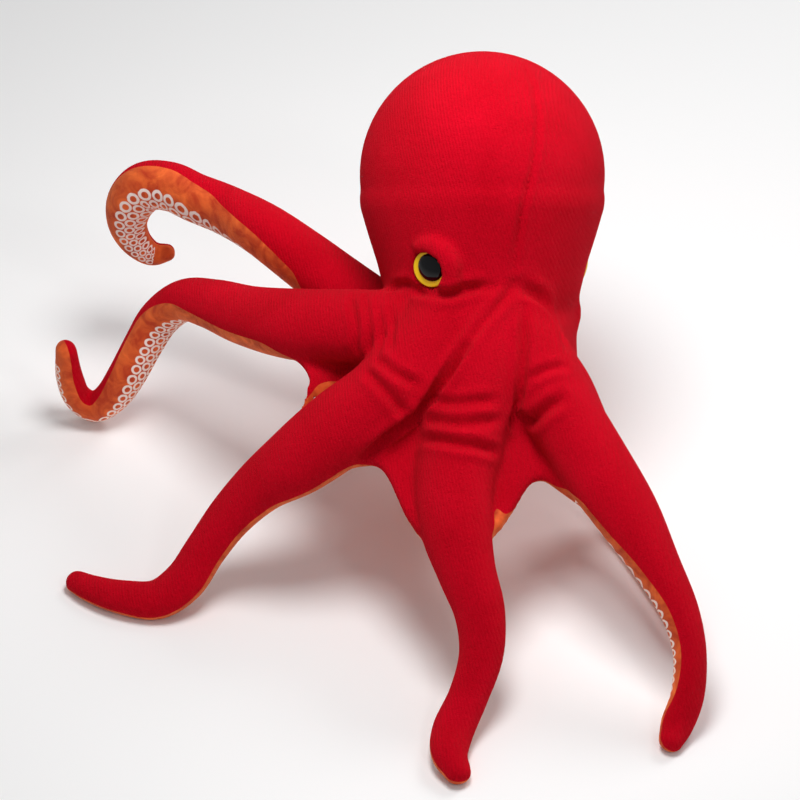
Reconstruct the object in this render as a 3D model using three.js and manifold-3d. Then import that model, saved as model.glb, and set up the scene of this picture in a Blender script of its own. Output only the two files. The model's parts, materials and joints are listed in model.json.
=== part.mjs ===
// Stuffed plush octopus standing on its arms, in millimetres, +Z up, floor at z = 0.
// The face looks to -Y, turned a little to +X. Each arm is a red upper cover and an orange
// under cover on a ball-ended root that turns in a cup in the body.
import * as THREE from 'three';
import { mergeVertices } from 'three/addons/utils/BufferGeometryUtils.js';
import Module from 'manifold-3d';

// ---- driving dimensions ----
const BODY_AXIS = new THREE.Vector3(74, -8.8, 0); // the body's centre line on the floor
const SEAM_GAP = 0.3; // between covers that are sewn together
const CUP_GAP = 1; // round the ball at an arm's root
const SWING_GAP = 2; // round an arm over its whole swing

const HEAD_CENTRE = new THREE.Vector3(0, 95, 207);
const HEAD_LEAN = THREE.MathUtils.degToRad(38); // from upright, towards +Y
const HEAD_SEAM_TURN = THREE.MathUtils.degToRad(23); // the face, turned towards +X
const HEAD_SEAM_ROLL = THREE.MathUtils.degToRad(15); // the crown, tipped towards +X
const HEAD_RADIUS = 79.5;
// below the ball: distance down the head's axis and radius there
const NECK_PROFILE = [[20, 79], [39, 73], [58, 67.5], [77, 63]];
const NECK_DROP = 77;

const BELLY_HEIGHT = 84;
const BELLY_RADIUS = 46;
const PARTING_HEIGHT = 96; // the middle of the surface between the body and belly covers
const PARTING_DEPTH = 60; // how far below that surface the shoulders are cut away
// places between a ring and the next one inwards, as shares of the way
const WAIST = { share: 0.45, slimX: 0.93, slimY: 0.97 };
const WEB_INSET = 0.5;
const BELLY_INSET = 0.08;
// web edges between the arms: bearing from -Y towards +X in degrees, reach and height
const WEB_EDGES = [
  [-148, 90, 104], [-118, 105, 116], [-85, 112, 122], [-43, 100, 104],
  [23, 88, 100], [65, 66, 98], [115, 60, 92], [178, 80, 86],
];
const RIM_THICKNESS = 5;

const EYE_RADIUS = 12;
const PUPIL_RADIUS = 8.6;
const STEM_RADIUS = 2.5;
const WASHER_RADIUS = 8;
const WASHER_DEPTH = 9; // below the skin
const WASHER_THICKNESS = 1.6;
const STEM_END = 5; // of the eye's stem, past the washer
const EYE_SINK = 0.6; // of the eye's seat into the skin
const EYE_BASE = 0.9;
const EYE_BAND = 1; // the straight edge below the eye's dome
const EYE_HEIGHT = 5;
const PUPIL_BASE = 4.9;
const PUPIL_HEIGHT = 3;
const PUPIL_SEAT_MARGIN = 0.9;
// a crescent of stuffed plush over one side of each eye
const LID_SIZE = [17, 6.5, 15];
const LID_SHIFT = 6;
const LID_RISE = 1.5;
const LID_ROOM_DEPTH = 14; // of the clear round hole that the lid leaves for the eye
// side, distance down the head's axis, angle round it from the middle of its front
const EYES = [
  { side: 'right', drop: 61, turn: -30.6, lidTurn: 62 },
  { side: 'left', drop: 60, turn: 108, lidTurn: 90 },
];

// Section heights of an arm, as shares of its width.
const UPPER_HEIGHT = 0.42;
const UNDER_HEIGHT = 0.42;

// Each arm's centre line is a hand-set route: x, y, z, width and roll in degrees at each
// point, from inside the body to the tip. hinge is the point where it joins the body.
const ARMS = [
  { name: 'front_right', hinge: 2, lift: [-12, 30], route: [
    [-2, -30, 138, 44, 0], [-12, -58, 120, 49, 0], [-19, -88, 104, 50, 0],
    [-18, -117, 88, 45, 0], [-12, -138, 73, 37, 0], [-4, -157, 56, 32, 0],
    [-3, -175, 38, 28, 0], [-11, -195, 21, 25, 0], [-21, -215, 9.5, 26, 0],
    [-23, -233, 8, 23, 0], [-18, -246, 6, 17, 0] ] },
  { name: 'side_right', hinge: 2, lift: [-12, 30], route: [
    [-40, -22, 140, 50, 0], [-63, -39, 130, 53, 0], [-90, -48, 114, 53, 0],
    [-117, -56, 94, 48, 0], [-141, -59, 75, 38, 5], [-162, -66, 54, 32, 8],
    [-178, -77, 35, 29, 5], [-192, -90, 19, 29, 0], [-209, -97, 10, 27, 0],
    [-233, -93, 8.5, 23, 5], [-252, -84, 7, 19, 10], [-263, -76, 6, 15.5, 10] ] },
  { name: 'rear_right', hinge: 2, lift: [-12, 30], route: [
    [-50, 8, 146, 50, 8], [-86, 20, 141, 54, 10], [-118, 33, 132, 53, 12],
    [-152, 57, 120, 45, 15], [-178, 80, 112, 38, 20], [-197, 95, 103, 34, 35],
    [-215, 100, 84, 30, 55], [-227, 96, 64, 28, 60], [-239, 90, 42, 28, 50],
    [-250, 89, 24, 27, 40], [-262, 90, 14, 25, 30], [-273, 91, 21, 23, 25],
    [-278, 92, 38, 22, 20], [-279, 92, 62, 17, 20] ] },
  { name: 'back_right', hinge: 2, lift: [-14, 26], route: [
    [-48, 50, 112, 44, 10], [-70, 66, 118, 46, 12], [-97, 86, 126, 46, 15],
    [-120, 101, 136, 45, 22], [-145, 117, 146, 43, 35], [-171, 139, 146, 40, 55],
    [-191, 148, 149, 38, 70], [-207, 156, 152, 37, 78], [-224, 161, 149, 36, 80],
    [-236, 163, 134, 33, 80], [-239, 164, 114, 27, 80], [-233, 163, 99, 22, 80],
    [-223, 162, 91, 18, 80], [-213, 162, 92, 13, 80] ] },
  { name: 'front_left', hinge: 2, lift: [-12, 30], route: [
    [30, -24, 140, 42, 0], [50, -52, 128, 47, 0], [68, -78, 110, 48, 5],
    [89, -108, 92, 43, 12], [106, -134, 74, 34, 30], [120, -157, 56, 28, 42],
    [126, -176, 38, 24, 40], [124, -195, 20, 23, 25], [117, -209, 8.5, 21, 5],
    [113, -219, 6, 16, 0] ] },
  { name: 'side_left', hinge: 2, sweep: [0, 40], route: [
    [36, 4, 132, 36, 0], [52, -6, 114, 38, 0], [63, -13, 90, 38, 0],
    [72, -12, 64, 36, 0], [84, -14, 38, 33, 0], [97, -30, 21, 31, 0],
    [110, -58, 12, 30, 0], [122, -90, 9.5, 27, 0], [129, -116, 8, 22, 0],
    [132, -132, 6, 16, 0] ] },
  { name: 'rear_left', hinge: 2, lift: [-12, 22], route: [
    [26, 36, 116, 42, 0], [34, 64, 100, 45, 0], [39, 92, 82, 45, 0],
    [41, 125, 60, 42, 0], [41, 158, 38, 36, 0], [42, 190, 20, 31, 0],
    [44, 216, 10, 28, 0], [46, 244, 8.5, 23, 0], [47, 262, 6, 16, 0] ] },
  { name: 'back_left', hinge: 2, lift: [-12, 22], route: [
    [-16, 38, 116, 42, 0], [-23, 68, 100, 45, 0], [-27, 97, 82, 45, 0],
    [-29, 130, 60, 42, 0], [-30, 162, 38, 36, 0], [-31, 194, 20, 31, 0],
    [-32, 218, 10, 28, 0], [-35, 246, 8.5, 23, 0], [-38, 264, 6, 16, 0] ] },
];

const ARC_STEPS = 6; // sides of half a section
const STEPS_PER_SPAN = 2; // stations between two route points
const SWING_STATIONS = 5; // of an arm, from its root, that need room to swing
const ROUND_END = [18, 42, 66]; // angles at which a rounded end's stations lie
const RING_SIDES = 30;

const COLOURS = {
  red_plush: { color: 0xb40a1e, roughness: 0.9, metalness: 0 },
  orange_velour: { color: 0xd8551c, roughness: 0.8, metalness: 0 },
  eye_yellow: { color: 0xf2b418, roughness: 0.2, metalness: 0 },
  eye_black: { color: 0x0a0a0c, roughness: 0.05, metalness: 0 },
  washer_white: { color: 0xe6e4dc, roughness: 0.5, metalness: 0 },
};

const wasm = await Module();
wasm.setup();
const object = new THREE.Group();

// ---- solids ----
function triangleMesh(points, triangles) {
  const geometry = new THREE.BufferGeometry().setFromPoints(points);
  geometry.setIndex(triangles.flat());
  return geometry;
}

function signedVolume(points, triangles) {
  const crossed = new THREE.Vector3();
  return triangles.reduce((sum, [a, b, c]) => {
    crossed.crossVectors(points[b], points[c]);
    return sum + points[a].dot(crossed) / 6;
  }, 0);
}

// Closes a list of rings of equal length into one solid, with a fan at each end.
function loft(rings) {
  const sides = rings[0].length;
  const points = rings.flat();
  const triangles = [];
  for (let j = 0; j + 1 < rings.length; j += 1) {
    for (let i = 0; i < sides; i += 1) {
      const next = (i + 1) % sides;
      const [a, b] = [j * sides + i, j * sides + next];
      const [c, d] = [a + sides, b + sides];
      // the last side is a half section's flat seam, whose diagonal both halves share
      if (next === 0) triangles.push([a, b, c], [b, d, c]);
      else triangles.push([a, b, d], [a, d, c]);
    }
  }
  for (const [ring, start] of [[rings[0], 0], [rings.at(-1), points.length - sides]]) {
    const middle = ring.reduce((sum, p) => sum.add(p), new THREE.Vector3()).divideScalar(sides);
    points.push(middle);
    for (let i = 0; i < sides; i += 1) {
      const [a, b] = [start + i, start + (i + 1) % sides];
      triangles.push(start === 0 ? [b, a, points.length - 1] : [a, b, points.length - 1]);
    }
  }
  if (signedVolume(points, triangles) < 0) triangles.forEach((t) => t.reverse());
  return triangleMesh(points, triangles);
}

function solid(geometry, matrix = new THREE.Matrix4()) {
  const bare = geometry.clone().applyMatrix4(matrix);
  bare.deleteAttribute('normal');
  bare.deleteAttribute('uv');
  const merged = mergeVertices(bare, 1e-4);
  return new wasm.Manifold(new wasm.Mesh({
    numProp: 3,
    vertProperties: new Float32Array(merged.attributes.position.array),
    triVerts: new Uint32Array(merged.index.array),
  }));
}

function biggestPiece(shape) {
  return shape.decompose().sort((a, b) => b.volume() - a.volume())[0];
}

function geometryOf(shape) {
  const mesh = biggestPiece(shape).getMesh();
  const geometry = new THREE.BufferGeometry();
  geometry.setAttribute('position', new THREE.BufferAttribute(mesh.vertProperties, 3));
  geometry.setIndex(new THREE.BufferAttribute(mesh.triVerts, 1));
  return geometry;
}

function addNode(name, geometry, colour) {
  const mesh = new THREE.Mesh(geometry, new THREE.MeshStandardMaterial(COLOURS[colour]));
  mesh.name = name;
  mesh.position.copy(BODY_AXIS);
  object.add(mesh);
}

// ---- arms ----
// Centres, axes, width and roll along a route, with the frame carried without twist.
function stationsOf(arm) {
  const points = arm.route.map(([x, y, z]) => new THREE.Vector3(x, y, z));
  const curve = new THREE.CatmullRomCurve3(points, false, 'centripetal');
  const count = (points.length - 1) * STEPS_PER_SPAN;
  // a positive roll turns the under cover of any arm towards -Y
  const rollSide = Math.sign(points[0].x - points.at(-1).x);
  let up = new THREE.Vector3(0, 0, 1);
  return Array.from({ length: count + 1 }, (_, k) => {
    const t = k / count;
    const span = Math.min(Math.floor(k / STEPS_PER_SPAN), points.length - 2);
    const part = k / STEPS_PER_SPAN - span;
    const [width, roll] = [3, 4].map((column) => THREE.MathUtils.lerp(
      arm.route[span][column], arm.route[span + 1][column], part));
    const along = curve.getTangent(t);
    up = up.clone().projectOnPlane(along).normalize();
    const angle = THREE.MathUtils.degToRad(roll) * rollSide;
    const rise = up.clone().applyAxisAngle(along, angle);
    const side = new THREE.Vector3().crossVectors(along, rise).normalize();
    return { centre: curve.getPoint(t), along, rise, side, width };
  });
}

function roundedEnd(station, sign) {
  const reach = station.width * UPPER_HEIGHT;
  return ROUND_END.map((degrees) => {
    const angle = THREE.MathUtils.degToRad(degrees);
    const centre = station.centre.clone()
      .addScaledVector(station.along, sign * reach * Math.cos(angle));
    return { ...station, centre, scale: Math.sin(angle) };
  });
}

function halfSection(station, isUpper, grow = 0) {
  const scale = station.scale ?? 1;
  const height = station.width * (isUpper ? UPPER_HEIGHT : UNDER_HEIGHT) * scale + grow;
  const half = (station.width / 2) * scale + grow;
  const direction = isUpper ? 1 : -1;
  return Array.from({ length: ARC_STEPS + 1 }, (_, i) => {
    const angle = (Math.PI * i) / ARC_STEPS;
    const lift = direction * (height * Math.sin(angle) + SEAM_GAP / 2);
    const point = station.centre.clone()
      .addScaledVector(station.side, half * Math.cos(angle))
      .addScaledVector(station.rise, lift);
    point.z = Math.max(point.z, 0);
    return point;
  });
}

function fullSection(station, grow = 0) {
  const upper = halfSection(station, true, grow);
  const under = halfSection(station, false, grow).reverse();
  return [...upper, ...under];
}

function armGeometry(stations, isUpper) {
  return loft(stations.map((station) => halfSection(station, isUpper)));
}

function hingeAxis(arm, station) {
  if (arm.sweep) return new THREE.Vector3(0, 0, 1);
  return new THREE.Vector3(station.along.y, -station.along.x, 0).normalize();
}

function turnedAbout(point, axis, degrees) {
  const back = new THREE.Matrix4().makeTranslation(-point.x, -point.y, -point.z);
  const turn = new THREE.Matrix4().makeRotationAxis(axis, THREE.MathUtils.degToRad(degrees));
  return new THREE.Matrix4().makeTranslation(point).multiply(turn).multiply(back);
}

const arms = ARMS.map((arm) => {
  const all = stationsOf(arm);
  const hingeIndex = arm.hinge * STEPS_PER_SPAN;
  const hinge = all[hingeIndex];
  const moving = all.slice(hingeIndex);
  const tip = moving.at(-1);
  const stations = [...roundedEnd(hinge, -1), ...moving, ...roundedEnd(tip, 1).reverse()];
  const axis = hingeAxis(arm, hinge);
  return { ...arm, shoulder: all.slice(0, hingeIndex), hinge, stations, axis };
});

// The room that an arm's ball and its first stretch need over the joint's range.
function swingRoom(arm) {
  const { hinge, axis } = arm;
  const across = hinge.width / 2 + CUP_GAP;
  // a sweep turns the ball about its own length, so it needs the same room all round
  const radius = arm.sweep ? across : hinge.width * UPPER_HEIGHT + SEAM_GAP + CUP_GAP;
  const place = new THREE.Matrix4().makeBasis(hinge.side, hinge.along, hinge.rise)
    .setPosition(hinge.centre)
    .scale(new THREE.Vector3(across, radius, radius));
  const ball = solid(new THREE.SphereGeometry(1, 16, 10), place);
  const first = arm.stations.slice(ROUND_END.length, ROUND_END.length + SWING_STATIONS);
  const stretch = loft(first.map((station) => fullSection(station, SWING_GAP)));
  const [low, high] = arm.lift ?? arm.sweep;
  return [low, 0, high / 2, high].reduce((room, degrees) => {
    const matrix = turnedAbout(hinge.centre, axis, degrees);
    return room.add(solid(stretch, matrix));
  }, ball);
}

// ---- body and belly ----
// Reach and height of the web edge at a bearing, smoothly between the stated edges.
function rimPoint(bearing) {
  const count = WEB_EDGES.length;
  const wrapped = THREE.MathUtils.euclideanModulo(bearing - WEB_EDGES[0][0], 360);
  const starts = WEB_EDGES.map(([at]) => at - WEB_EDGES[0][0]);
  const index = starts.findLastIndex((start) => start <= wrapped);
  const next = (index + 1) % count;
  const end = next === 0 ? 360 : starts[next];
  const part = (wrapped - starts[index]) / (end - starts[index]);
  const ease = (1 - Math.cos(Math.PI * part)) / 2;
  const [reach, height] = [1, 2].map((column) => THREE.MathUtils.lerp(
    WEB_EDGES[index][column], WEB_EDGES[next][column], ease));
  const angle = THREE.MathUtils.degToRad(bearing);
  return new THREE.Vector3(reach * Math.sin(angle), -reach * Math.cos(angle), height);
}

const headUp = new THREE.Vector3(0, Math.sin(HEAD_LEAN), Math.cos(HEAD_LEAN));
const headFront = new THREE.Vector3(0, -Math.cos(HEAD_LEAN), Math.sin(HEAD_LEAN));
const headSide = new THREE.Vector3(1, 0, 0);

function onHeadAxis(drop, radius, turn) {
  return HEAD_CENTRE.clone().addScaledVector(headUp, -drop)
    .addScaledVector(headFront, radius * Math.cos(turn))
    .addScaledVector(headSide, radius * Math.sin(turn));
}

const bearings = Array.from({ length: RING_SIDES }, (_, i) => (360 * i) / RING_SIDES);
const rim = bearings.map(rimPoint);
const neck = bearings.map((bearing) => onHeadAxis(
  NECK_DROP + SEAM_GAP, NECK_PROFILE.at(-1)[1], THREE.MathUtils.degToRad(bearing)));
const partingCentre = new THREE.Vector3(0, 0, PARTING_HEIGHT);

function towards(from, to, share) {
  return from.map((point, i) => point.clone().lerp(to[i], share));
}

function inwards(ring, share) {
  return towards(ring, ring.map(() => partingCentre), share);
}

function lowered(ring, drop) {
  return ring.map((point) => new THREE.Vector3(point.x, point.y, point.z - drop));
}

function bodySolid() {
  const slim = new THREE.Vector3(WAIST.slimX, WAIST.slimY, 1);
  const waist = towards(neck, rim, WAIST.share).map((point) => point.multiply(slim));
  const rimTop = lowered(rim, -RIM_THICKNESS);
  return solid(loft([inwards(rim, WEB_INSET), rim, rimTop, waist, neck]));
}

function bellySolid() {
  const edge = lowered(rim, SEAM_GAP);
  const inner = lowered(inwards(rim, WEB_INSET), SEAM_GAP);
  const under = lowered(inwards(rim, BELLY_INSET), RIM_THICKNESS);
  const flat = bearings.map((bearing) => {
    const angle = THREE.MathUtils.degToRad(bearing);
    return new THREE.Vector3(
      BELLY_RADIUS * Math.sin(angle), -BELLY_RADIUS * Math.cos(angle), BELLY_HEIGHT);
  });
  return solid(loft([inner, edge, under, flat]));
}

function addBody() {
  let body = bodySolid();
  let belly = bellySolid();
  for (const arm of arms) {
    body = body.add(solid(loft(arm.shoulder.map((station) => fullSection(station)))));
  }
  const parting = bellyCutter();
  body = body.subtract(parting);
  for (const arm of arms) {
    const room = swingRoom(arm);
    body = body.subtract(room);
    belly = belly.subtract(room);
  }
  body = body.subtract(solid(headGeometry(SEAM_GAP)));
  addNode('body_cover', geometryOf(body), 'red_plush');
  addNode('belly_panel', geometryOf(belly), 'orange_velour');
}

// Everything below the parting surface, which keeps the shoulders off the belly panel.
function bellyCutter() {
  const inner = inwards(rim, WEB_INSET);
  return solid(loft([
    inner, rim, lowered(rim, PARTING_DEPTH), lowered(inner, PARTING_DEPTH)]));
}

// ---- head ----
function headGeometry(grow) {
  const ball = HEAD_RADIUS + grow;
  const outline = [new THREE.Vector2(0, ball)];
  for (let degrees = 80; degrees >= -10; degrees -= 10) {
    const angle = THREE.MathUtils.degToRad(degrees);
    outline.push(new THREE.Vector2(ball * Math.cos(angle), ball * Math.sin(angle)));
  }
  for (const [drop, radius] of NECK_PROFILE.slice(1)) {
    outline.push(new THREE.Vector2(radius + grow, -drop));
  }
  outline.push(new THREE.Vector2(0, -NECK_DROP));
  const turned = new THREE.LatheGeometry(outline.reverse(), RING_SIDES);
  const basis = new THREE.Matrix4().makeBasis(headSide, headUp, headFront);
  return turned.applyMatrix4(basis.setPosition(HEAD_CENTRE));
}

function eyeMatrix(eye) {
  const turn = THREE.MathUtils.degToRad(eye.turn);
  const [above, below] = [NECK_PROFILE[1], NECK_PROFILE[3]];
  const slope = (below[1] - above[1]) / (below[0] - above[0]);
  const radius = above[1] + (eye.drop - above[0]) * slope;
  const centre = onHeadAxis(eye.drop, radius - EYE_SINK, turn);
  const out = onHeadAxis(eye.drop, 1, turn).sub(onHeadAxis(eye.drop, 0, turn));
  out.addScaledVector(headUp, slope).normalize();
  const across = new THREE.Vector3().crossVectors(headUp, out).normalize();
  const upward = new THREE.Vector3().crossVectors(out, across);
  return new THREE.Matrix4().makeBasis(across, out, upward.negate()).setPosition(centre);
}

function turnedOutline(outline, sides = 24) {
  return new THREE.LatheGeometry(outline.map(([x, y]) => new THREE.Vector2(x, y)), sides);
}

function domed(radius, height, base, steps = 5) {
  return Array.from({ length: steps + 1 }, (_, i) => {
    const angle = (Math.PI / 2) * (1 - i / steps);
    return [i === steps ? 0 : radius * Math.sin(angle), base + height * Math.cos(angle)];
  });
}

function eyeDiscGeometry() {
  const seat = PUPIL_BASE - SEAM_GAP;
  const end = -WASHER_DEPTH - STEM_END;
  const outer = domed(EYE_RADIUS, EYE_HEIGHT, EYE_BASE + EYE_BAND).filter(([, y]) => y < seat);
  return turnedOutline([
    [0, end], [STEM_RADIUS, end], [STEM_RADIUS, EYE_BASE], [EYE_RADIUS, EYE_BASE], ...outer,
    [PUPIL_RADIUS + PUPIL_SEAT_MARGIN, seat], [0, seat],
  ]);
}

function pupilGeometry() {
  return turnedOutline([[0, PUPIL_BASE], ...domed(PUPIL_RADIUS, PUPIL_HEIGHT, PUPIL_BASE)]);
}

function washerGeometry() {
  const [inner, top] = [STEM_RADIUS + SEAM_GAP, -WASHER_DEPTH];
  const bottom = top - WASHER_THICKNESS;
  return turnedOutline([
    [inner, top], [inner, bottom], [WASHER_RADIUS, bottom], [WASHER_RADIUS, top], [inner, top]]);
}

function eyePocket() {
  const hole = STEM_RADIUS + SEAM_GAP;
  const wide = WASHER_RADIUS + SEAM_GAP;
  const top = -WASHER_DEPTH + SEAM_GAP;
  const bottom = -WASHER_DEPTH - WASHER_THICKNESS - SEAM_GAP;
  const end = -WASHER_DEPTH - STEM_END - CUP_GAP;
  const mouth = EYE_BASE + SEAM_GAP;
  return turnedOutline([
    [0, end], [hole, end], [hole, bottom], [wide, bottom],
    [wide, top], [hole, top], [hole, mouth], [0, mouth],
  ]);
}

function lidSolid(eye, matrix) {
  const turn = THREE.MathUtils.degToRad(eye.lidTurn);
  const shift = [LID_SHIFT * Math.cos(turn), LID_RISE, -LID_SHIFT * Math.sin(turn)];
  const place = matrix.clone().multiply(new THREE.Matrix4().makeTranslation(...shift))
    .multiply(new THREE.Matrix4().makeScale(...LID_SIZE));
  const [room, deep] = [EYE_RADIUS + 2 * SEAM_GAP, LID_ROOM_DEPTH];
  const eyeRoom = turnedOutline([[0, -deep], [room, -deep], [room, deep], [0, deep]]);
  return solid(new THREE.SphereGeometry(1, 20, 12), place)
    .subtract(solid(headGeometry(SEAM_GAP)))
    .subtract(solid(eyeRoom, matrix));
}

function addHead() {
  let head = solid(headGeometry(0));
  for (const eye of EYES) {
    const matrix = eyeMatrix(eye);
    head = head.subtract(solid(eyePocket(), matrix));
    const place = (geometry) => geometry.applyMatrix4(matrix);
    addNode(`${eye.side}_eye`, place(eyeDiscGeometry()), 'eye_yellow');
    addNode(`${eye.side}_pupil`, place(pupilGeometry()), 'eye_black');
    addNode(`${eye.side}_eye_washer`, place(washerGeometry()), 'washer_white');
    addNode(`${eye.side}_eyelid`, geometryOf(lidSolid(eye, matrix)), 'red_plush');
  }
  // the seam plane holds the turned and rolled face line
  const seam = new THREE.Matrix4().makeBasis(headSide, headUp, headFront)
    .multiply(new THREE.Matrix4().makeRotationZ(-HEAD_SEAM_ROLL))
    .multiply(new THREE.Matrix4().makeRotationY(HEAD_SEAM_TURN))
    .setPosition(HEAD_CENTRE);
  const size = 4 * HEAD_RADIUS;
  for (const [side, sign] of [['left', 1], ['right', -1]]) {
    const block = new THREE.BoxGeometry(size, size, size)
      .translate(sign * (size / 2 + SEAM_GAP / 2), 0, 0);
    addNode(`head_${side}_panel`, geometryOf(head.intersect(solid(block, seam))), 'red_plush');
  }
}

addHead();
addBody();
for (const arm of arms) {
  addNode(`${arm.name}_arm_cover`, armGeometry(arm.stations, true), 'red_plush');
  addNode(`${arm.name}_arm_underside`, armGeometry(arm.stations, false), 'orange_velour');
}

export default object;
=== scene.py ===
"""Looks of the stuffed plush octopus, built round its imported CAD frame."""

import json
import math

import bpy
import numpy as np
from mathutils import Matrix, Vector
from mathutils.bvhtree import BVHTree


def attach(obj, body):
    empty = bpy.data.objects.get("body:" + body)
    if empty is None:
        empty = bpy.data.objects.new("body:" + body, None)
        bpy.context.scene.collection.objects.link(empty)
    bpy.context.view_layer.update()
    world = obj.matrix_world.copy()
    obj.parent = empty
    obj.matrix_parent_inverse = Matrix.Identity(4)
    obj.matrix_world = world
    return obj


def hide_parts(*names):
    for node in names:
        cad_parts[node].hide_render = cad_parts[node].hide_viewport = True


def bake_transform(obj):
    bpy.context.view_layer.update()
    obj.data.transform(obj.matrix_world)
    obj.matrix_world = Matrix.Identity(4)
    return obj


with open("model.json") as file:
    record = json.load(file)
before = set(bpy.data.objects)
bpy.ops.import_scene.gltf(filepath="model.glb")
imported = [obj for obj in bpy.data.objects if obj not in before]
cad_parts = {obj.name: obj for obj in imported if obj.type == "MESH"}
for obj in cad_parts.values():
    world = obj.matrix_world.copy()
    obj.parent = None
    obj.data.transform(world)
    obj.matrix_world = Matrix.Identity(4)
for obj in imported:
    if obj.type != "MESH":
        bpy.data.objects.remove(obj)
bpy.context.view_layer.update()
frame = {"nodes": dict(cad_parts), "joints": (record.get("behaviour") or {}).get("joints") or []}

MM = 0.001

# ---------------------------------------------------------------- the toy's layout, in mm
# Each arm's centre line as in the CAD: x, y, z, width and roll in degrees at each point,
# from inside the body to the tip, measured from the body's centre line on the floor.
ROUTES = {
    "front_right": [
        (4, 2, 168, 50, 0), (-4, -32, 144, 54, 0), (-12, -60, 122, 52, 0), (-19, -88, 104, 51, 0),
        (-18, -117, 88, 45, 0), (-12, -138, 73, 37, 0), (-4, -157, 56, 32, 0),
        (-3, -175, 38, 28, 0), (-11, -195, 21, 25, 0), (-21, -215, 9.5, 26, 0),
        (-23, -233, 8, 23, 0), (-18, -246, 6, 17, 0)],
    "side_right": [
        (-20, 6, 168, 50, 0), (-40, -18, 148, 54, 0), (-63, -38, 131, 54, 0), (-90, -48, 114, 53, 0),
        (-117, -56, 94, 48, 0), (-141, -59, 75, 38, 5), (-162, -66, 54, 32, 8),
        (-178, -77, 35, 29, 5), (-192, -90, 19, 29, 0), (-209, -97, 10, 27, 0),
        (-233, -93, 8.5, 23, 5), (-252, -84, 7, 19, 10), (-263, -76, 6, 15.5, 10)],
    "rear_right": [
        (-24, 24, 152, 50, 4), (-52, 12, 148, 53, 6), (-86, 20, 141, 54, 10), (-118, 33, 132, 53, 12),
        (-152, 57, 120, 45, 15), (-178, 80, 112, 38, 20), (-197, 95, 103, 34, 35),
        (-215, 100, 84, 30, 55), (-227, 96, 64, 28, 60), (-239, 90, 42, 28, 50),
        (-250, 89, 24, 27, 40), (-262, 90, 14, 25, 30), (-273, 91, 21, 23, 25),
        (-278, 92, 38, 22, 20), (-279, 92, 62, 17, 20)],
    "back_right": [
        (-24, 38, 116, 44, 8), (-48, 50, 114, 44, 10), (-70, 66, 118, 46, 12), (-97, 86, 126, 46, 15),
        (-120, 101, 136, 45, 22), (-145, 117, 146, 43, 35), (-171, 139, 146, 40, 55),
        (-191, 148, 149, 38, 70), (-207, 156, 152, 37, 78), (-224, 161, 149, 36, 80),
        (-236, 163, 134, 33, 80), (-239, 164, 114, 27, 80), (-233, 163, 99, 22, 80),
        (-223, 162, 91, 18, 80), (-213, 162, 92, 13, 80)],
    "front_left": [
        (18, 4, 166, 46, 0), (34, -26, 146, 48, 0), (50, -52, 128, 48, 0), (68, -78, 110, 48, 5),
        (89, -108, 92, 43, 12), (106, -134, 74, 34, 30), (120, -157, 56, 28, 42),
        (126, -176, 38, 24, 40), (124, -195, 20, 23, 25), (117, -209, 8.5, 21, 5),
        (113, -219, 6, 16, 0)],
    "side_left": [
        (20, 14, 146, 36, 0), (36, 4, 134, 36, 0), (52, -6, 114, 38, 0), (63, -13, 90, 38, 0),
        (72, -12, 64, 36, 0), (84, -14, 38, 33, 0), (97, -30, 21, 31, 0),
        (110, -58, 12, 30, 0), (122, -90, 9.5, 27, 0), (129, -116, 8, 22, 0),
        (132, -132, 6, 16, 0)],
    "rear_left": [
        (18, 20, 122, 42, 0), (26, 36, 116, 42, 0), (34, 64, 100, 45, 0), (39, 92, 82, 45, 0),
        (41, 125, 60, 42, 0), (41, 158, 38, 36, 0), (42, 190, 20, 31, 0),
        (44, 216, 10, 28, 0), (46, 244, 8.5, 23, 0), (47, 262, 6, 16, 0)],
    "back_left": [
        (-10, 20, 122, 42, 0), (-16, 38, 116, 42, 0), (-23, 68, 100, 45, 0), (-27, 97, 82, 45, 0),
        (-29, 130, 60, 42, 0), (-30, 162, 38, 36, 0), (-31, 194, 20, 31, 0),
        (-32, 218, 10, 28, 0), (-35, 246, 8.5, 23, 0), (-38, 264, 6, 16, 0)],
}
HINGE_POINT = 3  # the route point at an arm's root joint
SECTION_HEIGHT = 0.42  # half an arm's thickness, as a share of its width
ROUTE_STEP = 3.0
END_ANGLES = [12, 28, 45, 62, 78]  # where an arm's rounded end has its sections, in degrees
JOINT_OF = {joint["child"]: joint for joint in frame["joints"]}

HEAD_CENTRE = np.array([0.0, 95.0, 207.0])
HEAD_LEAN = math.radians(38)
HEAD_UP = np.array([0.0, math.sin(HEAD_LEAN), math.cos(HEAD_LEAN)])
HEAD_FRONT = np.array([0.0, -math.cos(HEAD_LEAN), math.sin(HEAD_LEAN)])
HEAD_SIDE = np.array([1.0, 0.0, 0.0])
HEAD_RADIUS = 79.5
NECK_START = 12.0  # down the head's axis, where the neck takes over from the ball
# below the ball: distance down the head's axis and radius there
NECK_PROFILE = [(20, 79.5), (39, 74), (58, 68), (77, 63.5), (96, 58), (118, 53), (140, 48)]

# web edges between the arms: bearing from -Y towards +X in degrees, reach and height
WEB_EDGES = [
    (-148, 90, 104), (-118, 105, 116), (-108, 138, 126), (-85, 112, 122), (-65, 134, 87),
    (-43, 100, 104), (-9, 132, 80), (23, 88, 100), (40, 140, 84), (65, 66, 98),
    (115, 60, 92), (178, 80, 86)]
WEB_THICKNESS = 6.0
PARTING_HEIGHT = 96.0
BELLY_HEIGHT = 86.0
BELLY_RADIUS = 46.0
SKIRT_TOP = (92, 61)  # distance down the head's axis and radius where the body's skirt starts
SKIRT_SAG = 9.0
RING_SIDES = 72

EYE_RADIUS = 12.0
# side, distance down the head's axis, angle round it from the middle of its front
EYES = {"right": (61, -30.6), "left": (60, 108)}
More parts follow.
